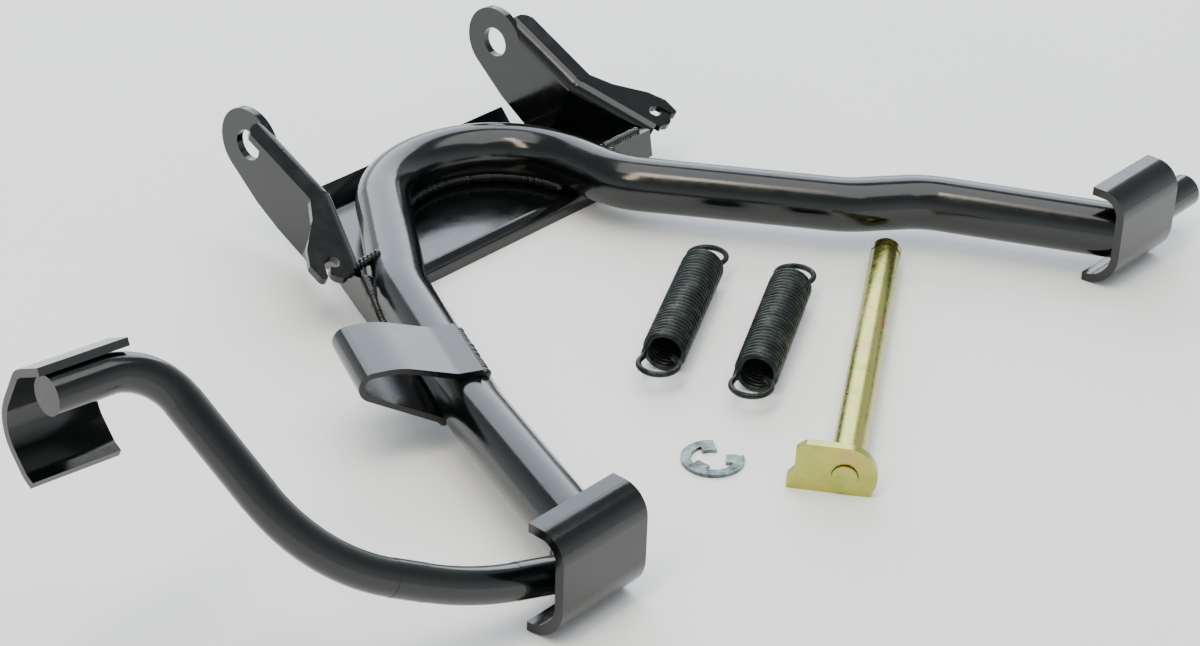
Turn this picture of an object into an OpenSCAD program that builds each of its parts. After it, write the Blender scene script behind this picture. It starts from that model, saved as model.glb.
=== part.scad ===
// Motorcycle centre stand laid out with its fitting hardware.
// The welded stand lies flat: legs along -Y, pivot ears at +Y, feet to the front.
// Origin: on the ground, midway between the legs, below the centre of the bend.

/* [Leg tube] */
// outside diameter of the leg tube
tube_d = 25.4; // [24:0.2:27]
// wall of the leg tube
tube_wall = 2.3; // [1.5:0.1:3]
// centre line radius of the top bend
crown_r = 52.9; // [51:0.1:55]
// straight run of the right leg after the top bend
right_run_a = 14.7; // [10:0.1:18]
// outward turn of the right leg below the top bend
right_turn_a = 32.5; // [30:0.5:34]
// long run of the right leg
right_run_b = 88.4; // [84:0.2:92]
// further outward turn at the set-out of the right leg
right_turn_b = 18.6; // [15:0.2:21]
// straight run inside the set-out
right_run_c = 20.3; // [16:0.1:24]
// turn of the right leg back toward the foot
right_turn_c = 24.9; // [23:0.1:27]
// centre line radius of the right leg bends
right_r = 40; // [35:1:45]
// angle at which the left leg leaves the top bend
left_a = 38.8; // [37:0.2:40]
// straight run of the left leg after the top bend
left_run_a = 69.6; // [66:0.2:72]
// first turn of the left leg back toward the foot
left_turn_a = 11.5; // [10:0.1:13]
// middle run of the left leg
left_run_b = 92.7; // [88:0.1:96]
// second turn of the left leg back toward the foot
left_turn_b = 5.2; // [4:0.1:7]
// centre line radius of the left leg bends
left_r = 80; // [70:1:90]

/* [Feet] */
// distance from the centre of the bend to the front of the soles
sole_y = 230.5; // [226:0.5:236]
// centre plane of each foot from the middle of the stand
foot_x = 184.5; // [182:0.5:187]
// width of each foot
foot_w = 45.5; // [42:0.5:50]
// thickness of the foot plate
foot_t = 4; // [3:0.1:4.5]
// height of the leg centre line above the ground
lay_h = 21.5; // [20:0.1:23]
// height of the top of the foot above the leg centre line
foot_top = 26; // [24:0.5:29]
// inside radius of the upper foot bend
foot_top_r = 7.5; // [5:0.5:9]
// inside radius of the lower foot curl
foot_low_r = 13; // [11:0.5:14]
// flat part of the upper foot flange
foot_flange = 6; // [4:0.5:10]
// flat part of the lower foot lip
foot_lip = 0.5; // [0.5:0.5:3]

/* [Pivot ears] */
// inside distance between the ears
ear_gap = 156.3; // [152:0.1:158]
// thickness of the ear plates
ear_t = 3.5; // [3:0.1:4]
// pivot centre behind the centre of the bend
pivot_y = 78.2; // [76:0.1:81]
// pivot centre above the leg centre line
pivot_z = 29.5; // [28:0.1:31]
// radius of the rounded pivot end
ear_r = 17.5; // [17:0.5:19]
// slope of the ear flange
ear_slope = 25.4; // [24:0.2:27]
// flange start from the pivot, along the slope
flange_start = 2; // [1:0.5:4]
// distance from the pivot to the kink, along the slope
kink_run = 50; // [48:0.5:52]
// outward angle of the lower ear
kink_a = 22.5; // [20:0.5:24]
// length of the kinked part of the ear
kink_len = 43.5; // [41:0.5:46]
// length of the toe of the left ear past its flange
toe_len = 31; // [29:0.5:33]
// width of the ear flange
flange_w = 13; // [11:0.5:14]
// inside radius of the flange bend
flange_r = 2.5; // [2:0.25:3]

/* [Spring hooks] */
// reach of the spring hook finger from the ear
hook_reach = 37.5; // [36:0.5:39]
// radius of the hook notch
hook_notch_r = 3; // [2.5:0.1:3.2]

/* [Cross plate] */
// thickness of the cross plate
cross_t = 3; // [2.5:0.1:3.5]
// front edge of the cross plate from the centre of the bend
cross_front = -5.5; // [-7:0.5:-4]
// rear bend of the cross plate from the centre of the bend
cross_back = 63; // [60:0.5:66]
// length of the turned-up rear edge
cross_tail = 12; // [8:0.5:14]
// angle of the turned-up rear edge
cross_tail_a = 48; // [46:1:60]
// width of the cut corner beside the left ear
cross_corner = 20; // [16:0.5:24]
// inside radius of the cross plate bends
cross_r = 2; // [1.5:0.25:3]

/* [Foot lever] */
// diameter of the lever bar
rod_d = 14.4; // [13.6:0.2:15.2]
// start of the lever from the middle of the stand
lever_x = 183.3; // [182:0.1:185]
// lever centre line behind the front of the soles
lever_back = 14.2; // [13:0.1:15.5]
// lever start above the leg centre line
lever_z = -5.3; // [-6:0.1:-4]
// upward slope of the plane in which the lever is bent
lever_lean = 49.4; // [47:0.2:52]
// first heading of the lever
lever_a0 = 17; // [15:0.5:19]
// angle of the long lever bend
lever_a1 = 16; // [14:0.5:18]
// centre line radius of the long lever bend
lever_r1 = 143; // [135:1:150]
// straight run after the long lever bend
lever_run1 = 13; // [10:0.5:16]
// angle of the middle lever bend
lever_a2 = 44; // [42:0.5:46]
// centre line radius of the middle lever bend
lever_r2 = 76; // [72:1:80]
// straight middle run of the lever
lever_run2 = 42; // [39:0.5:45]
// angle of the last lever bend
lever_a3 = 72; // [69:0.5:75]
// centre line radius of the last lever bend
lever_r3 = 25; // [23:0.5:26]
// straight end of the lever inside the pedal
lever_end = 23; // [21:0.5:26]

/* [Pedal pad] */
// length of the pedal pad
pad_len = 36; // [34:0.5:39]
// turn of the pedal pad about the lever end
pad_turn = -74.5; // [-78.5:0.5:-70.5]
// start of the pedal pad from the last bend
pad_inset = -10; // [-12:0.5:-9]
// thickness of the pedal pad
pad_t = 3; // [2.5:0.1:3.5]
// flat top of the pedal pad
pad_top = 12; // [10:0.5:14]
// upper back of the pedal pad
pad_back = 12; // [10:0.5:14]
// lower back of the pedal pad
pad_low = 8; // [6:0.5:10]

/* [Side guard] */
// length of the folded guard along the leg
guard_len = 38.5; // [36:0.5:41]
// front rim of the guard from the first turn of the left leg
guard_at = 89.2; // [86:0.2:92]
// thickness of the guard
guard_t = 2.5; // [2:0.1:3]
// upward angle of the top of the guard
guard_rise = 17; // [15:0.5:19]
// flat run before the nose of the guard
guard_flat = 5.5; // [4:0.5:7]
// inside radius of the nose of the guard
guard_nose_r = 4.2; // [3.5:0.1:5]

/* [Stub peg] */
// diameter of the stub peg
stub_d = 16; // [15:0.2:16.6]
// outer end of the stub peg from the middle of the stand
stub_end = 238; // [232:0.5:244]
// stub centre behind the front of the soles
stub_back = 12.4; // [12.1:0.1:14]
// stub centre above the leg centre line
stub_z = -2; // [-4:0.5:0]

/* [Springs] */
// outside diameter of the springs
spring_d = 19.6; // [19:0.2:20.4]
// wire diameter
wire_d = 2.6; // [2.4:0.1:2.8]
// number of close turns
turns = 29; // [27:1:31]
// gap between neighbouring turns
turn_gap = 0.12; // [0.08:0.02:0.2]

/* [Pivot pin] */
// diameter of the pivot pin
pin_d = 14; // [13:0.1:14.2]
// total length of the pivot pin
pin_len = 191; // [188:1:196]
// running clearance of the pin in the ears, on diameter
pin_clear = 0.6; // [0.4:0.1:0.9]
// chamfer of the free pin end
pin_chamfer = 2.2; // [1:0.1:3]
// width of the clip groove
groove_w = 1.8; // [1.7:0.05:2]
// depth of the clip groove
groove_depth = 1.6; // [1:0.1:2]

/* [Lock plate] */
// thickness of the lock plate
lock_t = 4; // [3.5:0.1:4.5]
// radius of the round end of the lock plate
lock_r = 13; // [12.5:0.1:14]
// reach of the lock plate tab from the pin
lock_reach = 20; // [18:0.5:22]
// diameter of the riveted pin head
rivet_d = 11; // [10:0.5:12]

/* [Clip] */
// thickness of the clip
clip_t = 1.6; // [1.4:0.05:1.65]
// outside radius of the clip
clip_r = 13; // [12.6:0.1:13.6]
// radial width of the clip band
clip_band = 4; // [3.5:0.1:4.5]

/* [Hidden] */
tube_r = tube_d / 2;
tube_bore = tube_d - 2 * tube_wall;
rod_r = rod_d / 2;
ear_x = ear_gap / 2;
hole_d = pin_d + pin_clear;
foot_in = foot_x - foot_w / 2;
sole_run = foot_top + lay_h - foot_top_r - foot_low_r - 2 * foot_t;
plate_top = -tube_r - 0.1;
spring_r = (spring_d - wire_d) / 2;
pitch = wire_d + turn_gap;
lap = 0.4;
stub_x = 180;
fit_gap = 0.02;
thin = 0.04;
rod_slim = 0.26;
right_table = [
  [right_run_a, right_turn_a, right_r],
  [right_run_b, right_turn_b, right_r],
  [right_run_c, -right_turn_c, right_r],
  [120, 0, 0]];
left_table = [
  [left_run_a, -left_turn_a, left_r],
  [left_run_b, -left_turn_b, left_r],
  [140, 0, 0]];
lever_table = [
  [29, lever_a1, lever_r1],
  [lever_run1, lever_a2, lever_r2],
  [lever_run2, -lever_a3, lever_r3],
  [lever_end, 0, 0]];
body_len = turns * pitch;
black = [0.09, 0.10, 0.10];
zinc = [0.80, 0.74, 0.42];
steel = [0.33, 0.33, 0.33];

// Pose [position, heading] after n entries of a bend table of [straight run, turn, bend radius].
function pose(table, n, i = 0, p = [0, 0], a = 0) =
  i == n ? [p, a] :
  let (
    q = p + table[i][0] * [cos(a), sin(a)],
    b = a + table[i][1],
    r = sign(table[i][1]) * table[i][2],
    e = q + r * [-sin(a), cos(a)] - r * [-sin(b), cos(b)])
  pose(table, n, i + 1, e, b);

// Bend of radius rad through the angle turn, starting at the origin along X.
module bend(turn, rad) {
  side = turn > 0 ? 1 : -1;
  translate([0, side * rad, 0]) rotate([0, 0, turn > 0 ? -90 : 90 + turn])
    rotate_extrude(angle = abs(turn), $fn = 96) children();
}

// Round bar that follows a bend table; the straight runs lap a little over the bends.
module bar(d, table, slim = thin) {
  last = len(table) - 1;
  for (i = [0 : last]) {
    at = pose(table, i);
    run = table[i][0];
    turn = table[i][1];
    before = i > 0 ? lap : 0;
    after = turn != 0 ? lap : 0;
    translate([at[0][0], at[0][1], 0]) rotate([0, 0, at[1]]) {
      if (run > 0) translate([-before, 0, 0]) rotate([0, 90, 0])
        cylinder(d = d, h = run + before + after, $fn = 48);
      if (turn != 0) translate([run, 0, 0])
        bend(turn, table[i][2]) translate([table[i][2], 0]) circle(d = d - slim, $fn = 48);
    }
  }
}

// Sheet of thickness t and width w that follows a bend table of [run, turn, inside radius].
module sheet(t, w, table) {
  mids = [for (e = table) [e[0], e[1], e[2] + t / 2]];
  for (i = [0 : len(table) - 1]) {
    at = pose(mids, i);
    run = table[i][0];
    turn = table[i][1];
    before = i > 0 ? lap : 0;
    after = turn != 0 ? lap : 0;
    translate([at[0][0], at[0][1], 0]) rotate([0, 0, at[1]]) {
      translate([-before, -t / 2, 0]) cube([run + before + after, t, w]);
      if (turn != 0) translate([run, 0, thin / 2])
        bend(turn, mids[i][2]) translate([table[i][2] + thin / 2, 0]) square([t - thin, w - thin]);
    }
  }
}

// Start of run i of a leg: X along the leg, Y outward.
module on_right(i = 0) {
  at = pose(right_table, i);
  translate([crown_r, 0, 0]) rotate([0, 0, -90])
    translate([at[0][0], at[0][1], 0]) rotate([0, 0, at[1]]) children();
}

module on_left(i = 0) {
  at = pose(left_table, i);
  mirror([1, 0, 0]) rotate([0, 0, left_a]) translate([crown_r, 0, 0]) rotate([0, 0, -90])
    translate([at[0][0], at[0][1], 0]) rotate([0, 0, at[1]]) children();
}

// Crown bend and both legs, running through the soles.
module leg_solid(d) {
  rotate_extrude(angle = 180 - left_a, $fn = 128) translate([crown_r, 0]) circle(d = d - thin, $fn = 48);
  on_right() bar(d, right_table);
  on_left() bar(d, left_table);
  on_right() translate([-lap, 0, 0]) rotate([0, 90, 0]) cylinder(d = d, h = lap, $fn = 48);
  on_left() translate([-lap, 0, 0]) rotate([0, 90, 0]) cylinder(d = d, h = lap, $fn = 48);
}

// Straight bar along one run of a leg, for coping what is welded to it.
module run_bar(d, from, to) {
  translate([from, 0, 0]) rotate([0, 90, 0]) cylinder(d = d, h = to - from, $fn = 48);
}

module leg_tube() {
  color(black) difference() {
    leg_solid(tube_d);
    leg_solid(tube_bore);
    // ends follow the inside of the feet
    rotate([90, 0, 90]) translate([0, 0, -300]) linear_extrude(600) difference() {
      translate([-sole_y - 100, -60]) square([130, 120]);
      foot_room();
    }
  }
}

// Space inside a foot seen from its side.
module foot_room() {
  front = -sole_y + foot_t;
  low = -lay_h + foot_t;
  top = foot_top - foot_t;
  translate([front, low + foot_low_r]) square([60, top - foot_top_r - low - foot_low_r]);
  translate([front + foot_low_r, low]) square([60, top - low]);
  translate([front + foot_low_r, low + foot_low_r]) circle(r = foot_low_r, $fn = 64);
  translate([front + foot_top_r, top - foot_top_r]) circle(r = foot_top_r, $fn = 64);
  translate([front + foot_top_r, low + foot_low_r]) square([20, top - low - foot_low_r]);
}

// Folded foot: upper flange, sole and curled lip, width along X.
module foot() {
  color(black)
    translate([foot_in, -sole_y + foot_top_r + foot_t + foot_flange, foot_top - foot_t / 2])
      rotate([90, 0, -90]) mirror([0, 0, 1]) sheet(foot_t, foot_w, [
        [foot_flange, -90, foot_top_r],
        [sole_run, -90, foot_low_r],
        [foot_lip, 0, 0]]);
}

module right_foot() { foot(); }

module left_foot() { mirror([1, 0, 0]) foot(); }

// Outline of the ear web below the flange, y along the slope, z square to it.
module web_outline() {
  circle(r = ear_r, $fn = 96);
  polygon([
    [4, -17], [-16, -22.5], [-32, -24.5], [-kink_run, -25],
    [-kink_run, ear_r - ear_t - flange_r], [0, ear_r - ear_t - flange_r], [0, 0]]);
}

// Outline of the flange with the spring hook, x outward, y along the slope.
module flange_outline() {
  inner = ear_t + flange_r;
  end_x = kink_len * sin(kink_a);
  end_y = -kink_run - kink_len * cos(kink_a);
  difference() {
    union() {
      polygon([
        [inner, -flange_start - 4], [inner, -kink_run],
        [inner + end_x, end_y], [inner + end_x + 6, end_y + 1],
        [hook_reach - 11, end_y + 14], [hook_reach - 4, end_y + 20],
        [flange_w + 7, end_y + 32], [flange_w, end_y + 42], [flange_w, -flange_start - 4]]);
      translate([inner, -flange_start - 4]) intersection() {
        square([flange_w - inner, 4]);
        translate([flange_w - inner - 6, -2]) circle(r = 6, $fn = 48);
      }
      translate([inner, -flange_start - 4]) square([flange_w - inner - 6, 4]);
      polygon([
        [hook_reach - 14, end_y + 12], [hook_reach - 4, end_y + 20],
        [hook_reach + 1, end_y + 12], [hook_reach + 1, end_y + 5], [hook_reach - 3, end_y + 5],
        [hook_reach - 6, end_y + 11]]);
      translate([hook_reach - 1, end_y + 5]) circle(r = 2, $fn = 32);
      translate([inner + end_x + 5, end_y + 4]) circle(r = 4.5, $fn = 32);
    }
    translate([hook_reach - 10, end_y + 9]) circle(r = hook_notch_r, $fn = 32);
  }
}

// Right ear in its own frame, pivot at the origin, flange plane level.
module ear_body() {
  bend_h = ear_t + flange_r;
  web_top = ear_r - bend_h;
  difference() {
    union() {
      rotate([90, 0, 90]) linear_extrude(ear_t) web_outline();
      // rounded bend from the web into the flange
      translate([bend_h, -kink_run, web_top]) rotate([-90, 0, 0]) mirror([0, 1, 0])
        linear_extrude(kink_run - flange_start) intersection() {
          difference() {
            circle(r = bend_h, $fn = 64);
            circle(r = flange_r, $fn = 64);
          }
          translate([-bend_h, 0]) square(bend_h);
        }
      translate([0, 0, ear_r - ear_t]) linear_extrude(ear_t) flange_outline();
      // lower web, kinked outward along the leg
      translate([0, -kink_run, 0]) rotate([0, 0, kink_a]) {
        translate([0, -kink_len, 0]) rotate([90, 0, 90]) linear_extrude(ear_t) polygon([
          [0, 0], [kink_len - 26, -5], [kink_len - 6, -23], [kink_len + 1, -25],
          [kink_len + 1, web_top], [0, web_top]]);
        translate([bend_h, -kink_len, web_top]) rotate([-90, 0, 0]) mirror([0, 1, 0])
          linear_extrude(kink_len + 1) intersection() {
            difference() {
              circle(r = bend_h, $fn = 64);
              circle(r = flange_r, $fn = 64);
            }
            translate([-bend_h, 0]) square(bend_h);
          }
      }
    }
    translate([-1, 0, 0]) rotate([0, 90, 0]) cylinder(d = hole_d, h = ear_t + 2, $fn = 64);
  }
}

module ear() {
  color(black) translate([ear_x, pivot_y, pivot_z]) rotate([ear_slope, 0, 0]) ear_body();
}

module right_ear() { ear(); }

module ear_toe() {
  translate([-ear_x, pivot_y, pivot_z]) rotate([ear_slope, 0, 0]) translate([0, -kink_run, 0])
    rotate([0, 0, -kink_a]) translate([-ear_t, -kink_len, 0]) rotate([90, 0, 90])
      linear_extrude(ear_t) polygon([
        [1, 0], [1, ear_r - ear_t - flange_r], [-6, ear_r], [-toe_len, ear_r], [-toe_len, 11], [-12, 4]]);
}

// The left ear ends in a toe that runs down the outside of the tube.
module left_ear() {
  color(black) difference() {
    union() {
      mirror([1, 0, 0]) ear();
      ear_toe();
    }
    on_left() bar(tube_d + 0.1, left_table, 0.06);
  }
}

// Small plate that ties the right ear to the side of the tube.
module ear_gussets() {
  color(black) difference() {
    translate([crown_r, -9.5, -8]) cube([ear_x + 22 - crown_r, 4, 15]);
    on_right() run_bar(tube_d + 0.02, -20, right_run_a + 1);
    translate([ear_x, pivot_y, pivot_z]) rotate([ear_slope, 0, 0]) translate([0, -kink_run, 0])
      rotate([0, 0, kink_a]) translate([-0.02, -80, -60]) cube([40, 100, 90]);
  }
}

// Cross plate under the bend, front edge folded down and rear edge turned up.
module cross_plate() {
  lip = lay_h + plate_top - cross_t - cross_r;
  wide = ear_gap - 2 * fit_gap - 1;
  color(black) difference() {
    translate([-wide / 2, cross_front + cross_t / 2, -lay_h]) rotate([90, 0, 90])
      rotate([0, 0, 90]) sheet(cross_t, wide, [
        [lip, -90, cross_r],
        [cross_back - cross_front - cross_t - cross_r, cross_tail_a, cross_r],
        [cross_tail, 0, 0]]);
    // cut corner beside the left ear
    translate([-wide / 2, cross_back - 48, -30]) linear_extrude(60)
      polygon([[-1, -1], [0, 0], [cross_corner, 48], [cross_corner + 8, 70], [-1, 70]]);
  }
}

// Start of the lever: X along its first heading, in the leaning plane of its bends.
module lever_frame() {
  translate([-lever_x, -sole_y + lever_back, lever_z])
    mirror([1, 0, 0]) rotate([lever_lean, 0, 0]) rotate([0, 0, lever_a0]) children();
}

module lever_rod() {
  color(black) difference() {
    lever_frame() bar(rod_d, lever_table, rod_slim);
    on_left(2) run_bar(tube_d + 0.02, 60, 140);
  }
}

module stub_peg() {
  color(black) difference() {
    translate([stub_x, -sole_y + stub_back, stub_z]) rotate([0, 90, 0]) {
      cylinder(d = stub_d, h = stub_end - stub_x, $fn = 48);
      translate([0, 0, stub_end - stub_x]) cylinder(d1 = stub_d, d2 = stub_d - 3, h = 1.5, $fn = 48);
    }
    on_right(3) run_bar(tube_d + 0.02, 40, 120);
  }
}

// Curled pedal pad around the straight end of the lever, open to the front.
module pedal_pad() {
  at = pose(lever_table, 3);
  color(black) lever_frame() translate([at[0][0], at[0][1], 0]) rotate([0, 0, at[1]])
    rotate([pad_turn, 0, 0]) translate([pad_inset, 0, 0]) rotate([90, 0, 90])
      translate([-4, rod_r + pad_t / 2 + 0.1, 0])
        sheet(pad_t, pad_len, [
          [pad_top, -40, 5.5],
          [pad_back, -70, 14.5],
          [pad_low, -20, 6],
          [3, 0, 0]]);
}

// Folded guard on the outside of the left leg, its nose pointing outward.
module side_guard() {
  color(black) difference() {
    on_left(1) translate([guard_at - guard_len, 0, 0]) rotate([90, 0, 90])
      translate([-5, tube_r + 0.1 + guard_t / 2, 0])
        sheet(guard_t, guard_len, [
          [9, guard_rise, 10],
          [18, -19, 30],
          [guard_flat, -150, guard_nose_r],
          [36, 0, 0]]);
    on_left(1) run_bar(tube_d + 0.04, 20, 110);
  }
}

// Wire swept along a list of points, frame carried from point to point.
function unit(v) = v / norm(v);
function bez(a, b, c, d, t) =
  a * pow(1 - t, 3) + b * 3 * t * pow(1 - t, 2) + c * 3 * t * t * (1 - t) + d * pow(t, 3);
function coil(a) = [a / 360 * pitch, spring_r * cos(a), spring_r * sin(a)];
function loop_pt(a) = [body_len + 1.15 * spring_r + spring_r * cos(a), spring_r * sin(a), 0];
function hook_pts() = concat(
  [for (t = [0.25 : 0.25 : 1]) bez(
    coil(360 * turns - 50), coil(360 * turns - 50) + [1, 2.2, 4.6],
    loop_pt(118) + [-3.6, 1.2, 1.2], loop_pt(118), t)],
  [for (a = [104 : -16 : -146]) loop_pt(a)]);
function flip(p) = [body_len - p[0], p[1], -p[2]];
function wire_pts() = concat(
  [for (i = [len(hook_pts()) - 1 : -1 : 0]) flip(hook_pts()[i])],
  [for (a = [50 : 30 : 360 * turns - 50]) coil(a)],
  hook_pts());

module wire(pts, d, n = 6) {
  last = len(pts) - 1;
  dirs = [for (i = [0 : last]) unit(pts[min(i + 1, last)] - pts[max(i - 1, 0)])];
  mids = [for (i = [0 : last]) let (
      out = pts[i] - [pts[i][0], 0, 0],
      loop_n = [0, 0, 1],
      in_body = pts[i][0] > 0.8 && pts[i][0] < body_len - 0.8,
      ref = in_body && norm(out) > 1 ? out : loop_n)
    unit(ref - dirs[i] * (ref * dirs[i]))];
  rings = [for (i = [0 : last]) let (s = cross(dirs[i], mids[i]))
    for (k = [0 : n - 1]) pts[i] + (mids[i] * cos(360 * k / n) + s * sin(360 * k / n)) * d / 2];
  sides = [for (i = [0 : last - 1]) for (k = [0 : n - 1])
    [i * n + k, i * n + (k + 1) % n, (i + 1) * n + (k + 1) % n, (i + 1) * n + k]];
  polyhedron(rings, concat(sides,
    [[for (k = [n - 1 : -1 : 0]) k]], [[for (k = [0 : n - 1]) last * n + k]]));
}

module spring() {
  color(steel) wire(wire_pts(), wire_d);
}

module spring_a() {
  translate([-34.5, -130, spring_d / 2]) rotate([0, 0, 27.8]) spring();
}

module spring_b() {
  translate([-20.5, -169, spring_d / 2]) rotate([0, 0, 27.7]) spring();
}

// Pin axis frame: origin at the lock plate face, X toward the free end.
module pin_frame() {
  lift = lock_r * 0.64;
  translate([-51.4, -240, lift]) rotate([0, 0, 31.7]) rotate([0, asin((lift - pin_d / 2) / pin_len), 0])
    children();
}

module pivot_pin() {
  color(zinc) pin_frame() rotate([0, 90, 0]) difference() {
    union() {
      translate([0, 0, -lock_t - 1.2]) cylinder(d = rivet_d - 0.4, h = lock_t + 1.2 + 0.5, $fn = 64);
      translate([0, 0, 0.2]) cylinder(d = pin_d, h = pin_len - pin_chamfer - 0.2, $fn = 64);
      translate([0, 0, pin_len - pin_chamfer])
        cylinder(d1 = pin_d, d2 = pin_d - 2 * pin_chamfer, h = pin_chamfer, $fn = 64);
    }
    translate([0, 0, pin_len - 9]) difference() {
      cylinder(d = pin_d + 2, h = groove_w, $fn = 64);
      translate([0, 0, -1]) cylinder(d = pin_d - 2 * groove_depth, h = groove_w + 2, $fn = 64);
    }
  }
}

// Lock plate with a round end, a square tab and a small heel.
module lock_plate() {
  flat = lock_r * 0.64;
  color(zinc) pin_frame() rotate([90, 0, 90]) translate([0, 0, -lock_t]) linear_extrude(lock_t) difference() {
    union() {
      intersection() {
        circle(r = lock_r, $fn = 96);
        translate([-20, -flat]) square([40, 40]);
      }
      polygon([
        [0, -flat], [lock_reach + 3, -flat], [lock_reach + 3, -2.6], [lock_reach, 0.8],
        [lock_reach, 10], [lock_reach - 4, lock_r], [0, lock_r]]);
    }
    circle(d = rivet_d, $fn = 64);
  }
}

// Open clip with three inner lugs.
module e_clip() {
  color(steel) translate([-72.4, -189.2, 0]) linear_extrude(clip_t) {
    difference() {
      circle(r = clip_r, $fn = 96);
      circle(r = clip_r - clip_band, $fn = 96);
      polygon([[0, 0], [30, -24], [30, 24]]);
    }
    for (a = [52, 180, 308]) rotate([0, 0, a]) intersection() {
      translate([pin_d / 2 - groove_depth, -3]) square([clip_r - clip_band - pin_d / 2 + groove_depth + 1, 6]);
      difference() {
        circle(r = clip_r - 1, $fn = 96);
        circle(r = pin_d / 2 - groove_depth + 0.2, $fn = 64);
      }
    }
  }
}

// Lifts the welded stand so that its lips and cross plate rest on the ground.
module raised() { translate([0, 0, lay_h]) children(); }

raised() leg_tube();
raised() left_ear();
raised() right_ear();
raised() ear_gussets();
raised() cross_plate();
raised() left_foot();
raised() right_foot();
raised() lever_rod();
raised() pedal_pad();
raised() side_guard();
raised() stub_peg();
spring_a();
spring_b();
pivot_pin();
lock_plate();
e_clip();
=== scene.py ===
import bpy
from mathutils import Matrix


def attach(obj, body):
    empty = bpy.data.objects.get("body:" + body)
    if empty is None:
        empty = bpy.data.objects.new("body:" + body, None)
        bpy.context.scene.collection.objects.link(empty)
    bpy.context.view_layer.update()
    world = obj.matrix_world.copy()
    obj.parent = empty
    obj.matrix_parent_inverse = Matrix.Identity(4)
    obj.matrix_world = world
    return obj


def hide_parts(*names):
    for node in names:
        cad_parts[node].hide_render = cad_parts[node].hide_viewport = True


bl_info = {
    "name": "Motorcycle centre stand",
    "version": (1, 0, 0),
    "blender": (4, 5, 0),
    "location": "View3D > Sidebar > Centre stand",
    "description": "Dresses a welded motorcycle centre stand and its loose fitting parts",
    "category": "Object",
}

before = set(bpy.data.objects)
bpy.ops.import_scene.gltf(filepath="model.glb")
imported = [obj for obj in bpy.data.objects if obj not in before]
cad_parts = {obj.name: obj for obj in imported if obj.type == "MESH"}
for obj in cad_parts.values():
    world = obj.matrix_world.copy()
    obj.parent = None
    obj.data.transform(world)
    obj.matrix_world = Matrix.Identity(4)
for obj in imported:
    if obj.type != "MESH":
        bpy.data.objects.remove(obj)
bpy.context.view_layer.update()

import math

import bmesh
import bpy
from mathutils import Matrix, Vector

MM = 0.001

# sizes of the stand in millimetres, above the ground
LAY = 21.5  # height of the tube's centre line
CROWN = 52.9  # radius of the top bend
TUBE = 12.7  # radius of the leg tube
SOLE = -225.6  # where the legs' seams meet the soles, along Y
# a point on the centre line and its direction
RIGHT_LEG = ((141.67, -146.24, LAY), (0.4415, -0.8973, 0))
LEFT_LEG_TOP = ((-93.4, -34.18, LAY), (-0.4586, -0.8886, 0))
LEFT_LEG = ((-138.98, -123.13, LAY), (-0.3762, -0.9265, 0))
LEVER = ((-183.3, -216.3, 16.2), (-0.9563, 0.1903, 0.222))
STUB = ((180, -218.1, 19.5), (1, 0, 0))
GUARD_STRETCH = (53, 87)  # start and end of the side guard, from LEFT_LEG_TOP's point
LEVER_RADIUS = 7.2
STUB_RADIUS = 8.0
BEAD_SEED = 7
BUMP_CELL = 2.2  # width of a noise cell against that of the bump in it
SENSOR = 36.0  # width of the camera's sensor
# place of each spring on the ground and its turn about the vertical
SPRINGS = {"spring_a": (-34.5, -130, 27.8), "spring_b": (-20.5, -169, 27.7)}
ZINC_PLATED = ("pivot_pin", "lock_plate")


# Small helpers


def linear(hex_colour):
    """sRGB hex colour as linear red, green, blue and alpha."""
    out = []
    for i in (1, 3, 5):
        c = int(hex_colour[i : i + 2], 16) / 255
        out.append(c / 12.92 if c <= 0.04045 else ((c + 0.055) / 1.055) ** 2.4)
    return (*out, 1.0)


def set_stops(ramp, stops):
    """Gives a colour ramp its places and linear colours, in rising order."""
    while len(ramp.elements) < len(stops):
        ramp.elements.new(0.5)
    for element, (place, colour) in zip(ramp.elements, stops):
        element.position = place
        element.color = colour


def add_node(tree, kind, settings=None, **links):
    """Adds a node with its attributes, input values and links from other sockets.

    The setting "stops" holds a colour ramp's places and linear colours. A link named
    i0, i1 and so on goes to the input of that number.
    """
    node = tree.nodes.new(kind)
    for key, value in (settings or {}).items():
        if key == "stops":
            set_stops(node.color_ramp, value)
        elif isinstance(key, str) and hasattr(node, key):
            setattr(node, key, value)
        else:
            node.inputs[key].default_value = value
    for key, socket in links.items():
        name = int(key[1:]) if key[0] == "i" and key[1:].isdigit() else key.replace("_", " ")
        tree.links.new(socket, node.inputs[name])
    return node


def new_material(name):
    mat = bpy.data.materials.new(name)
    mat.use_nodes = True
    mat.node_tree.nodes.clear()
    return mat, mat.node_tree


def grey(value):
    return (value, value, value, 1.0)


def set_material(obj, mat):
    """Gives every material slot of an object the same material."""
    if not obj.material_slots:
        obj.data.materials.append(mat)
    for material_slot in obj.material_slots:
        material_slot.material = mat


# Materials


def cells(size_mm, detail, roughness=0.5):
    """Settings of a noise whose cells are size_mm wide on the real object."""
    return {"Scale": 1 / (size_mm * MM), "Detail": detail, "Roughness": roughness}


def close_material(tree, base, rough, height, bump, values):
    """Bump, shader and output; bump is its strength and its depth in millimetres."""
    strength, depth = bump
    relief = add_node(
        tree,
        "ShaderNodeBump",
        {"Strength": strength, "Distance": depth * MM},
        Height=height,
    )
    shader = add_node(
        tree,
        "ShaderNodeBsdfPrincipled",
        values,
        Base_Color=base.outputs["Color"],
        Roughness=rough.outputs["Color"],
        Normal=relief.outputs["Normal"],
    )
    add_node(tree, "ShaderNodeOutputMaterial", Surface=shader.outputs[0])


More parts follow.
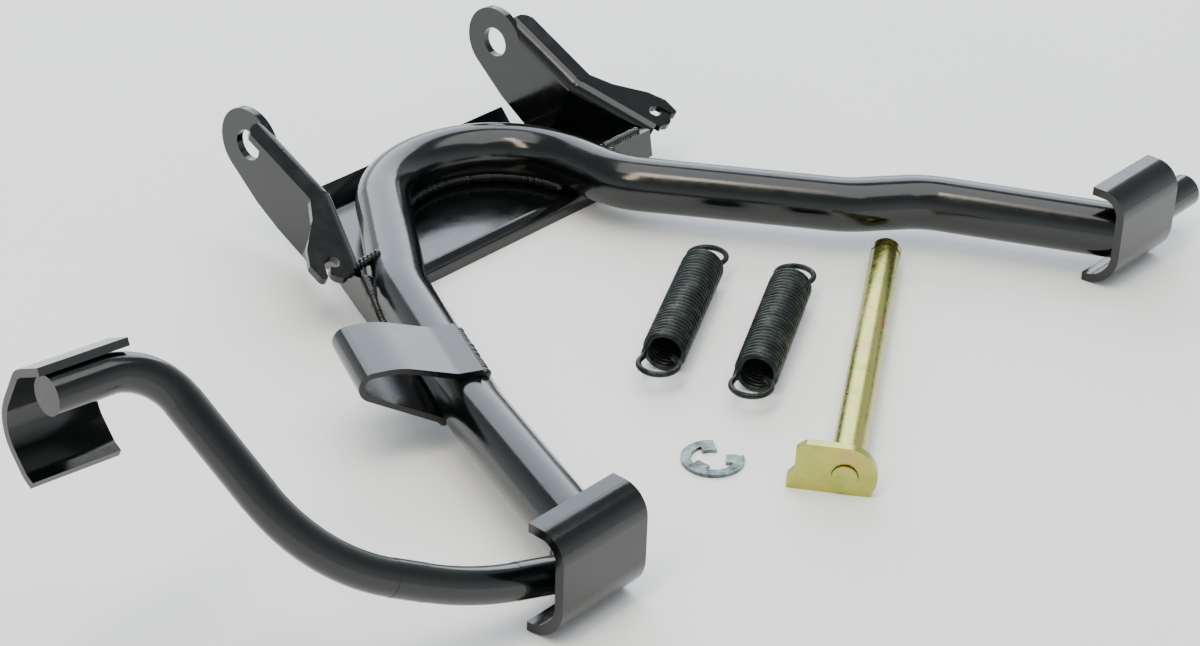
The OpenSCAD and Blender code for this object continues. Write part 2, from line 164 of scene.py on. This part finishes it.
def gloss_black_powder_coat(tones):
    """Black gloss powder coat over steel, with fine orange peel."""
    mat, tree = new_material("gloss_black_powder_coat")
    coords = add_node(tree, "ShaderNodeTexCoord").outputs["Object"]
    blotch = add_node(tree, "ShaderNodeTexNoise", cells(28.0, 4.0), Vector=coords)
    base = add_node(
        tree,
        "ShaderNodeValToRGB",
        {"stops": [(0.35, linear(tones.coat_dark)), (0.7, linear(tones.coat_light))]},
        Fac=blotch.outputs["Fac"],
    )
    smear = add_node(tree, "ShaderNodeTexNoise", cells(9.0, 6.0, 0.6), Vector=coords)
    rough = add_node(
        tree,
        "ShaderNodeValToRGB",
        {"stops": [(0.35, grey(0.12)), (0.75, grey(0.22))]},
        Fac=smear.outputs["Fac"],
    )
    # orange peel with dust nibs on top, as wide as these in millimetres
    peel_width, nib_width = 1.3, 0.5
    peel = add_node(
        tree, "ShaderNodeTexNoise", cells(peel_width * BUMP_CELL, 2.0), Vector=coords
    )
    nib = add_node(tree, "ShaderNodeTexNoise", cells(nib_width * BUMP_CELL, 1.0), Vector=coords)
    height = add_node(
        tree,
        "ShaderNodeMath",
        {"operation": "MULTIPLY_ADD", 1: 0.25},
        i0=nib.outputs["Fac"],
        i2=peel.outputs["Fac"],
    )
    lacquer = {"IOR": 1.5, "Coat Weight": 0.15, "Coat Roughness": 0.12, "Coat IOR": 1.5}
    close_material(tree, base, rough, height.outputs[0], (0.22, 0.12), lacquer)
    return mat


def phosphated_spring_steel(tones):
    """Oiled phosphate on drawn spring wire: dark grey, satin, with paler rubbed turns."""
    mat, tree = new_material("phosphated_spring_steel")
    coords = add_node(tree, "ShaderNodeTexCoord").outputs["Object"]
    rub = add_node(tree, "ShaderNodeTexNoise", cells(6.0, 5.0, 0.65), Vector=coords)
    wear = [
        (0.30, linear(tones.spring_dark)),
        (0.55, linear(tones.spring_mid)),
        (0.80, linear(tones.spring_light)),
    ]
    base = add_node(tree, "ShaderNodeValToRGB", {"stops": wear}, Fac=rub.outputs["Fac"])
    grain = add_node(tree, "ShaderNodeTexNoise", cells(0.6, 2.0), Vector=coords)
    rough = add_node(
        tree,
        "ShaderNodeValToRGB",
        {"stops": [(0.3, grey(0.48)), (0.8, grey(0.30))]},
        Fac=rub.outputs["Fac"],
    )
    close_material(tree, base, rough, grain.outputs["Fac"], (0.25, 0.05), {"Metallic": 0.8})
    return mat


def yellow_passivated_zinc(tones):
    """Zinc plate with yellow passivation: olive gold film with green and rosy patches."""
    mat, tree = new_material("yellow_passivated_zinc")
    coords = add_node(tree, "ShaderNodeTexCoord").outputs["Object"]
    film = add_node(tree, "ShaderNodeTexNoise", cells(14.0, 3.0), Vector=coords)
    patches = [
        (0.32, linear(tones.zinc_green)),
        (0.52, linear(tones.zinc_gold)),
        (0.72, linear(tones.zinc_rose)),
    ]
    base = add_node(tree, "ShaderNodeValToRGB", {"stops": patches}, Fac=film.outputs["Fac"])
    scuff = add_node(tree, "ShaderNodeTexNoise", cells(3.0, 6.0, 0.7), Vector=coords)
    rough = add_node(
        tree,
        "ShaderNodeValToRGB",
        {"stops": [(0.3, grey(0.20)), (0.75, grey(0.38))]},
        Fac=scuff.outputs["Fac"],
    )
    grain = add_node(tree, "ShaderNodeTexNoise", cells(0.8, 3.0), Vector=coords)
    close_material(tree, base, rough, grain.outputs["Fac"], (0.18, 0.05), {"Metallic": 1.0})
    return mat


def tumbled_clip_steel(tones):
    """Stamped and tumbled spring steel clip: mid grey, softly bright on the faces."""
    mat, tree = new_material("tumbled_clip_steel")
    coords = add_node(tree, "ShaderNodeTexCoord").outputs["Object"]
    spot = add_node(tree, "ShaderNodeTexNoise", cells(4.0, 5.0, 0.6), Vector=coords)
    base = add_node(
        tree,
        "ShaderNodeValToRGB",
        {"stops": [(0.3, linear(tones.clip_dark)), (0.7, linear(tones.clip_light))]},
        Fac=spot.outputs["Fac"],
    )
    rough = add_node(
        tree,
        "ShaderNodeValToRGB",
        {"stops": [(0.3, grey(0.42)), (0.7, grey(0.26))]},
        Fac=spot.outputs["Fac"],
    )
    grain = add_node(tree, "ShaderNodeTexNoise", cells(0.5, 2.0), Vector=coords)
    close_material(tree, base, rough, grain.outputs["Fac"], (0.2, 0.04), {"Metallic": 1.0})
    return mat


def matt_white_floor(tones):
    """Matt white board, a touch uneven so that it isn't one flat tone."""
    mat, tree = new_material("matt_white_floor")
    coords = add_node(tree, "ShaderNodeTexCoord").outputs["Object"]
    cloud = add_node(tree, "ShaderNodeTexNoise", cells(300.0, 2.0), Vector=coords)
    base = add_node(
        tree,
        "ShaderNodeValToRGB",
        {"stops": [(0.3, linear(tones.floor_colour)), (0.7, linear("#ffffff"))]},
        Fac=cloud.outputs["Fac"],
    )
    shader = add_node(
        tree,
        "ShaderNodeBsdfPrincipled",
        {"Roughness": 0.75, "Specular IOR Level": 0.2},
        Base_Color=base.outputs["Color"],
    )
    add_node(tree, "ShaderNodeOutputMaterial", Surface=shader.outputs[0])
    return mat


# Geometry


def poly_curve(name, runs):
    """Curve object with one open poly line for each list of points, in metres."""
    curve = bpy.data.curves.new(name, "CURVE")
    curve.dimensions = "3D"
    for points in runs:
        line = curve.splines.new("POLY")
        line.points.add(len(points) - 1)
        for point, place in zip(line.points, points):
            point.co = (*place, 1.0)
    obj = bpy.data.objects.new(name, curve)
    bpy.context.scene.collection.objects.link(obj)
    return obj


def group_with_inputs(name, inputs):
    """Geometry node group with a geometry in and out and named inputs."""
    group = bpy.data.node_groups.new(name, "GeometryNodeTree")
    face = group.interface
    face.new_socket("Geometry", in_out="INPUT", socket_type="NodeSocketGeometry")
    for label, kind, value in inputs:
        socket = face.new_socket(label, in_out="INPUT", socket_type=kind)
        if value is not None:
            socket.default_value = value
    face.new_socket("Geometry", in_out="OUTPUT", socket_type="NodeSocketGeometry")
    return group


def finish_with_nodes(source, group, values, name):
    """Runs a node group on an object and keeps the result as a plain mesh object."""
    mod = source.modifiers.new(group.name, "NODES")
    mod.node_group = group
    ids = {s.name: s.identifier for s in group.interface.items_tree if s.in_out == "INPUT"}
    for label, value in values.items():
        mod[ids[label]] = value
    graph = bpy.context.evaluated_depsgraph_get()
    graph.update()
    mesh = bpy.data.meshes.new_from_object(source.evaluated_get(graph), depsgraph=graph)
    mesh.name = name
    if not mesh.polygons:
        raise RuntimeError(f"{name} came out empty")
    source.modifiers.remove(mod)
    bpy.data.objects.remove(source)
    obj = bpy.data.objects.new(name, mesh)
    bpy.context.scene.collection.objects.link(obj)
    return obj


def close_group(group, geometry, finish):
    """Realizes the instances, smooths and paints them, and ends the group."""
    real = add_node(group, "GeometryNodeRealizeInstances", Geometry=geometry)
    smooth = add_node(group, "GeometryNodeSetShadeSmooth", Geometry=real.outputs[0])
    paint = add_node(
        group, "GeometryNodeSetMaterial", Geometry=smooth.outputs[0], Material=finish
    )
    out = add_node(group, "NodeGroupOutput")
    group.links.new(paint.outputs[0], out.inputs["Geometry"])


def wire_group():
    """Round wire along a centre line: named inputs for its diameter, sides and material."""
    group = group_with_inputs(
        "round_wire",
        [
            ("Wire diameter", "NodeSocketFloat", 0.0026),
            ("Sides", "NodeSocketInt", 12),
            ("Finish", "NodeSocketMaterial", None),
        ],
    )
    inputs = add_node(group, "NodeGroupInput").outputs
    radius = add_node(
        group, "ShaderNodeMath", {"operation": "MULTIPLY", 1: 0.5}, i0=inputs["Wire diameter"]
    )
    ring = add_node(
        group,
        "GeometryNodeCurvePrimitiveCircle",
        Resolution=inputs["Sides"],
        Radius=radius.outputs[0],
    )
    tube = add_node(
        group,
        "GeometryNodeCurveToMesh",
        {"Fill Caps": True},
        Curve=inputs["Geometry"],
        Profile_Curve=ring.outputs["Curve"],
    )
    close_group(group, tube.outputs["Mesh"], inputs["Finish"])
    return group


def weld_group():
    """Weld bead: flattened ripples overlap at a set pitch along the seam line."""
    group = group_with_inputs(
        "weld_bead",
        [
            ("Ripple pitch", "NodeSocketFloat", 0.0018),
            ("Bead width", "NodeSocketFloat", 0.005),
            ("Ripple unevenness", "NodeSocketFloat", 0.15),
            ("Seed", "NodeSocketInt", BEAD_SEED),
            ("Finish", "NodeSocketMaterial", None),
        ],
    )
    inputs = add_node(group, "NodeGroupInput").outputs
    steps = add_node(
        group,
        "GeometryNodeResampleCurve",
        {"mode": "LENGTH"},
        Curve=inputs["Geometry"],
        Length=inputs["Ripple pitch"],
    )
    blob = add_node(
        group, "GeometryNodeMeshUVSphere", {"Segments": 10, "Rings": 6, "Radius": 0.5}
    )
    tangent = add_node(group, "GeometryNodeInputTangent")
    turn = add_node(
        group,
        "FunctionNodeAlignRotationToVector",
        {"axis": "X"},
        Vector=tangent.outputs["Tangent"],
    )
    uneven = inputs["Ripple unevenness"]
    low = add_node(group, "ShaderNodeMath", {"operation": "SUBTRACT", 0: 1.0}, i1=uneven)
    high = add_node(group, "ShaderNodeMath", {"operation": "ADD", 0: 1.0}, i1=uneven)
    vary = add_node(
        group,
        "FunctionNodeRandomValue",
        {"data_type": "FLOAT"},
        i2=low.outputs[0],
        i3=high.outputs[0],
        Seed=inputs["Seed"],
    )
    width = add_node(
        group,
        "ShaderNodeMath",
        {"operation": "MULTIPLY"},
        i0=inputs["Bead width"],
        i1=vary.outputs[1],
    ).outputs[0]
    # a ripple is a little shorter along the seam than across it
    along = add_node(group, "ShaderNodeMath", {"operation": "MULTIPLY", 1: 0.8}, i0=width)
    size = add_node(group, "ShaderNodeCombineXYZ", X=along.outputs[0], Y=width, Z=width)
    spread = add_node(
        group,
        "GeometryNodeInstanceOnPoints",
        Points=steps.outputs[0],
        Instance=blob.outputs["Mesh"],
        Rotation=turn.outputs[0],
        Scale=size.outputs[0],
    )
    close_group(group, spread.outputs[0], inputs["Finish"])
    return group


def spring_line(own):
    """Centre line of a spring along X, in millimetres: loop, close turns, loop."""
    radius = (own.spring_diameter - own.wire_diameter) / MM / 2
    pitch = (own.wire_diameter + own.turn_gap) / MM
    length = own.turns * pitch
    cut_back = 50  # the last turn leaves the coil this many degrees early
    reach = 1.15 * radius  # from the last turn to the middle of the loop
    lift_off = Vector((1, 2.2, 4.6))  # the wire's way out of the last turn
    lean_in = Vector((-3.6, 1.2, 1.2))  # and into the loop

    def coil(angle):
        a = math.radians(angle)
        return Vector((angle / 360 * pitch, radius * math.cos(a), radius * math.sin(a)))

    def loop(angle):
        a = math.radians(angle)
        return Vector((length + reach + radius * math.cos(a), radius * math.sin(a), 0))

    def hook():
        start, end = coil(360 * own.turns - cut_back), loop(118)
        knots = (start, start + lift_off, end + lean_in, end)
        points = []
        for i in range(1, 13):
            t = i / 12
            weights = ((1 - t) ** 3, 3 * t * (1 - t) ** 2, 3 * t * t * (1 - t), t**3)
            points.append(sum((k * w for k, w in zip(knots, weights)), Vector()))
        return points + [loop(a) for a in range(112, -147, -6)]

    near = [Vector((length - p.x, p.y, -p.z)) for p in reversed(hook())]
    body = [coil(a) for a in range(cut_back, 360 * own.turns - cut_back + 1, 15)]
    return near + body + hook()


# Settings


class CentreStandFinish(bpy.types.PropertyGroup):
    coat_dark: bpy.props.StringProperty(
        name="Coat, dark", description="Darker tone of the black coat", default="#050708"
    )
    coat_light: bpy.props.StringProperty(
        name="Coat, light", description="Lighter tone of the black coat", default="#0a0d0e"
    )
    spring_dark: bpy.props.StringProperty(
        name="Spring, dark", description="Unrubbed phosphate", default="#151918"
    )
    spring_mid: bpy.props.StringProperty(
        name="Spring, middle", description="Main tone of the springs", default="#2b302f"
    )
    spring_light: bpy.props.StringProperty(
        name="Spring, light", description="Rubbed turns of the springs", default="#565d5b"
    )
    zinc_green: bpy.props.StringProperty(
        name="Zinc, green", description="Green patches of the passivation", default="#9da653"
    )
    zinc_gold: bpy.props.StringProperty(
        name="Zinc, gold", description="Main tone of the passivation", default="#b3b25c"
    )
    zinc_rose: bpy.props.StringProperty(
        name="Zinc, rose", description="Rosy patches of the passivation", default="#bd9a66"
    )
    clip_dark: bpy.props.StringProperty(
        name="Clip, dark", description="Darker tone of the clip", default="#3f4645"
    )
    clip_light: bpy.props.StringProperty(
        name="Clip, light", description="Lighter tone of the clip", default="#7d8584"
    )
    floor_colour: bpy.props.StringProperty(
        name="Floor", description="Colour of the floor", default="#fbfcfc"
    )


class CentreStandSprings(bpy.types.PropertyGroup):
    spring_diameter: bpy.props.FloatProperty(
        name="Outside diameter",
        description="Outside diameter of the springs",
        default=19.6 * MM,
        unit="LENGTH",
    )
    wire_diameter: bpy.props.FloatProperty(
        name="Wire", description="Diameter of the spring wire", default=2.6 * MM, unit="LENGTH"
    )
    turn_gap: bpy.props.FloatProperty(
        name="Turn gap", description="Gap between the turns", default=0.12 * MM, unit="LENGTH"
    )
    turns: bpy.props.IntProperty(name="Turns", description="Close turns of a spring", default=29)
    sides: bpy.props.IntProperty(name="Sides", description="Sides of the round wire", default=12)


class CentreStandWelds(bpy.types.PropertyGroup):
    pitch: bpy.props.FloatProperty(
        name="Ripple pitch",
        description="Distance between weld ripples",
        default=1.7 * MM,
        unit="LENGTH",
    )
    width: bpy.props.FloatProperty(
        name="Bead width", description="Width of the weld beads", default=5.0 * MM, unit="LENGTH"
    )
    unevenness: bpy.props.FloatProperty(
        name="Unevenness", description="Spread of the ripple size", default=0.14, subtype="FACTOR"
    )


class CentreStandStage(bpy.types.PropertyGroup):
    camera_place: bpy.props.FloatVectorProperty(
        name="Camera",
        description="Place of the camera",
        default=(-0.78563, -0.7459, 0.58927),
        subtype="TRANSLATION",
    )
    heading: bpy.props.FloatProperty(
        name="Heading",
        description="Camera heading from the X axis",
        default=math.radians(40.968),
        subtype="ANGLE",
    )
    dip: bpy.props.FloatProperty(
        name="Dip",
        description="Camera angle below the horizon",
        default=math.radians(30.237),
        subtype="ANGLE",
    )
    roll: bpy.props.FloatProperty(
        name="Roll", description="Camera roll", default=math.radians(1.865), subtype="ANGLE"
    )
    lens: bpy.props.FloatProperty(
        name="Lens", description="Focal length for a 36 mm wide sensor, in mm", default=79.95
    )


def settings(name):
    return getattr(bpy.context.scene, "centre_stand_" + name)


# Operators

COATED = [
    name
    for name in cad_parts
    if name not in SPRINGS and name not in ZINC_PLATED and name != "e_clip"
]


def paint_nodes(names, mat):
    for name in names:
        set_material(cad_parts[name], mat)


class CENTRESTAND_OT_coat(bpy.types.Operator):
    """Gives the welded stand its gloss black coat"""

    bl_idname = "centrestand.coat"
    bl_label = "Coat the stand"

    def execute(self, context):
        paint_nodes(COATED, gloss_black_powder_coat(settings("finish")))
        return {"FINISHED"}


class CENTRESTAND_OT_springs(bpy.types.Operator):
    """Winds both return springs from round wire"""

    bl_idname = "centrestand.springs"
    bl_label = "Wind the springs"

    def execute(self, context):
        own = settings("springs")
        mat = phosphated_spring_steel(settings("finish"))
        group = wire_group()
        half = own.spring_diameter / 2
        for node, (x, y, angle) in SPRINGS.items():
            move = Matrix.Translation((x * MM, y * MM, half))
            move = move @ Matrix.Rotation(math.radians(angle), 4, "Z")
            points = [move @ (p * MM) for p in spring_line(own)]
            line = poly_curve(node + "_line", [points])
            piece = finish_with_nodes(
                line,
                group,
                {"Wire diameter": own.wire_diameter, "Sides": own.sides, "Finish": mat},
                "coiled_" + node,
            )
            set_material(piece, mat)
            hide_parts(node)
            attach(piece, "root")
        return {"FINISHED"}


class CENTRESTAND_OT_zinc(bpy.types.Operator):
    """Plates the pivot pin and its lock plate"""

    bl_idname = "centrestand.zinc"
    bl_label = "Plate the pivot pin"

    def execute(self, context):
        paint_nodes(ZINC_PLATED, yellow_passivated_zinc(settings("finish")))
        return {"FINISHED"}


class CENTRESTAND_OT_clip(bpy.types.Operator):
    """Finishes the open clip"""

    bl_idname = "centrestand.clip"
    bl_label = "Finish the clip"

    def execute(self, context):
        paint_nodes(("e_clip",), tumbled_clip_steel(settings("finish")))
        return {"FINISHED"}


def around(along, radius, degrees):
    """Step from a round bar's axis to its surface, 90 degrees being its upper side."""
    side = Vector((0, 0, 1)).cross(along).normalized()
    rise = along.cross(side).normalized()
    a = math.radians(degrees)
    return (side * math.cos(a) + rise * math.sin(a)) * radius


def saddle(bar, radius, tube, lift=0.6):
    """Seam where a round bar stands on a leg tube."""
    place, along = Vector(bar[0]), Vector(bar[1]).normalized()
    middle, axis = Vector(tube[0]), Vector(tube[1]).normalized()
    run = along - axis * along.dot(axis)
    points = []
    for degrees in range(0, 361, 8):
        point = place + around(along, radius + lift, degrees)
        start = point - middle
        start -= axis * start.dot(axis)
        aa, bb = run.dot(run), start.dot(run)
        root = bb * bb - aa * (start.dot(start) - (TUBE + lift) ** 2)
        if root >= 0:
            points.append(point + along * ((math.sqrt(root) - bb) / aa))
    return points


def along_tube(tube, degrees, start, end, lift=0.5):
    """Straight seam on the side of a leg tube, from start to end along it."""
    along = Vector(tube[1]).normalized()
    first = Vector(tube[0]) + around(along, TUBE + lift, degrees)
    return [first + along * (start + (end - start) * i / 12) for i in range(13)]


def tube_end(tube, lift=0.5):
    """Seam over the top of a leg tube where it runs into its sole."""
    along = Vector(tube[1]).normalized()
    points = []
    for degrees in range(20, 161, 8):
        point = Vector(tube[0]) + around(along, TUBE + lift, degrees)
        points.append(point + along * ((SOLE - point.y) / along.y))
    return points


def under_crown(side):
    """Seam of the top bend on the cross plate, side 1 outside and -1 inside."""
    beside, below = 8.5, 10.2  # from the tube's centre line to the seam
    radius = CROWN + side * beside
    angles = [math.radians(a) for a in range(4, 138, 4)]
    return [(radius * math.cos(a), radius * math.sin(a), LAY - below) for a in angles]


def straight(first, last):
    first, last = Vector(first), Vector(last)
    return [first + (last - first) * i / 8 for i in range(9)]


def weld_lines():
    """Seams of the stand in millimetres, above the ground."""
    return [
        under_crown(1),
        under_crown(-1),
        saddle(LEVER, LEVER_RADIUS, LEFT_LEG),
        saddle(STUB, STUB_RADIUS, RIGHT_LEG),
        # side guard along the left leg, inner and outer edge
        along_tube(LEFT_LEG_TOP, 60, *GUARD_STRETCH),
        along_tube(LEFT_LEG_TOP, 214, *GUARD_STRETCH),
        # toe and flange end of the left ear on the tube
        straight((-98.4, -15.0, 25.0), (-107.4, -35.2, 15.4)),
        straight((-93.5, -5.5, 26.5), (-86.0, -9.5, 31.0)),
        # plate between the right ear and the tube
        straight((64.5, -7.5, 29.2), (86.0, -7.5, 29.2)),
        straight((66.5, -10.2, 15.0), (65.0, -10.2, 27.5)),
        # legs on the soles
        tube_end(RIGHT_LEG),
        tube_end(LEFT_LEG),
    ]


class CENTRESTAND_OT_welds(bpy.types.Operator):
    """Lays weld beads along the seams of the stand"""

    bl_idname = "centrestand.welds"
    bl_label = "Lay the weld beads"

    def execute(self, context):
        own = settings("welds")
        mat = bpy.data.materials["gloss_black_powder_coat"]
        runs = [[Vector(p) * MM for p in line] for line in weld_lines()]
        lines = poly_curve("weld_lines", runs)
        piece = finish_with_nodes(
            lines,
            weld_group(),
            {
                "Ripple pitch": own.pitch,
                "Bead width": own.width,
                "Ripple unevenness": own.unevenness,
                "Seed": BEAD_SEED,
                "Finish": mat,
            },
            "weld_beads",
        )
        set_material(piece, mat)
        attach(piece, "root")
        return {"FINISHED"}


def area_light(name, place, aim, size, power, colour):
    """Soft light at a place, turned to its aim; sizes in metres and power in watts."""
    light = bpy.data.lights.new(name, "AREA")
    light.shape = "RECTANGLE"
    light.size, light.size_y = size
    light.energy = power
    light.color = linear(colour)[:3]
    lamp = bpy.data.objects.new(name, light)
    lamp.location = place
    lamp.rotation_mode = "QUATERNION"
    lamp.rotation_quaternion = (Vector(aim) - Vector(place)).to_track_quat("-Z", "Y")
    bpy.context.scene.collection.objects.link(lamp)


class CENTRESTAND_OT_stage(bpy.types.Operator):
    """Makes the floor, the soft lights and the camera"""

    bl_idname = "centrestand.stage"
    bl_label = "Make the stage"

    def execute(self, context):
        own = settings("stage")
        scene = context.scene
        # camera from its heading, dip and roll
        data = bpy.data.cameras.new("camera")
        data.sensor_fit = "HORIZONTAL"
        data.sensor_width = SENSOR
        data.lens = own.lens
        data.clip_start, data.clip_end = 0.05, 30.0
        ahead = Vector(
            (
                math.cos(own.heading) * math.cos(own.dip),
                math.sin(own.heading) * math.cos(own.dip),
                -math.sin(own.dip),
            )
        )
        right = Vector((math.sin(own.heading), -math.cos(own.heading), 0))
        up = right.cross(ahead)
        c, s = math.cos(own.roll), math.sin(own.roll)
        right, up = right * c + up * s, up * c - right * s
        cam = bpy.data.objects.new("camera", data)
        cam.matrix_world = Matrix.Translation(own.camera_place) @ Matrix(
            (right, up, -ahead)
        ).transposed().to_4x4()
        scene.collection.objects.link(cam)
        scene.camera = cam

        # floor
        mesh = bpy.data.meshes.new("floor")
        build = bmesh.new()
        bmesh.ops.create_grid(build, x_segments=8, y_segments=8, size=4.0)
        build.to_mesh(mesh)
        build.free()
        floor = bpy.data.objects.new("floor", mesh)
        scene.collection.objects.link(floor)
        set_material(floor, matt_white_floor(settings("finish")))

        # sky that is bright at the horizon and dim overhead
        world = bpy.data.worlds.new("studio")
        world.use_nodes = True
        tree = world.node_tree
        tree.nodes.clear()
        look = add_node(tree, "ShaderNodeTexCoord")
        split = add_node(tree, "ShaderNodeSeparateXYZ", Vector=look.outputs["Generated"])
        sky = [
            (0.0, (0.80, 0.86, 0.88, 1)),
            (0.25, (0.66, 0.72, 0.74, 1)),
            (0.6, (0.30, 0.32, 0.33, 1)),
            (1.0, (0.22, 0.24, 0.25, 1)),
        ]
        shade = add_node(tree, "ShaderNodeValToRGB", {"stops": sky}, Fac=split.outputs["Z"])
        back = add_node(
            tree, "ShaderNodeBackground", {"Strength": 1.4}, Color=shade.outputs["Color"]
        )
        add_node(tree, "ShaderNodeOutputWorld", Surface=back.outputs[0])
        scene.world = world

        # window behind the stand, warm strip in front, soft fill overhead
        area_light("window", (1.3, 1.6, 1.3), (0, 0, 0), (2.6, 1.8), 60, "#eaf4ff")
        area_light("warm_strip", (-0.9, -0.2, 1.5), (-0.1, -0.1, 0), (0.25, 1.2), 12, "#fff0d0")
        area_light("overhead", (0.1, -0.3, 2.6), (0, 0, 0), (2.6, 2.6), 62, "#ffffff")
        return {"FINISHED"}


class CENTRESTAND_PT_panel(bpy.types.Panel):
    bl_idname = "CENTRESTAND_PT_panel"
    bl_label = "Centre stand"
    bl_space_type = "VIEW_3D"
    bl_region_type = "UI"
    bl_category = "Centre stand"

    def draw(self, context):
        for op in OPERATORS:
            self.layout.operator(op.bl_idname)
        for name in GROUPS:
            box = self.layout.box()
            own = settings(name)
            for prop in own.bl_rna.properties:
                if prop.identifier not in ("rna_type", "name"):
                    box.prop(own, prop.identifier)


OPERATORS = (
    CENTRESTAND_OT_stage,
    CENTRESTAND_OT_coat,
    CENTRESTAND_OT_springs,
    CENTRESTAND_OT_zinc,
    CENTRESTAND_OT_clip,
    CENTRESTAND_OT_welds,
)
GROUPS = {
    "finish": CentreStandFinish,
    "springs": CentreStandSprings,
    "welds": CentreStandWelds,
    "stage": CentreStandStage,
}


def register():
    for group in GROUPS.values():
        bpy.utils.register_class(group)
    for cls in OPERATORS + (CENTRESTAND_PT_panel,):
        bpy.utils.register_class(cls)
    for name, group in GROUPS.items():
        setattr(bpy.types.Scene, "centre_stand_" + name, bpy.props.PointerProperty(type=group))


def unregister():
    for name in GROUPS:
        delattr(bpy.types.Scene, "centre_stand_" + name)
    for cls in (CENTRESTAND_PT_panel,) + OPERATORS[::-1]:
        bpy.utils.unregister_class(cls)
    for group in GROUPS.values():
        bpy.utils.unregister_class(group)


def main():
    register()
    for op in OPERATORS:
        getattr(bpy.ops.centrestand, op.bl_idname.split(".")[1])()


if __name__ == "__main__":
    main()
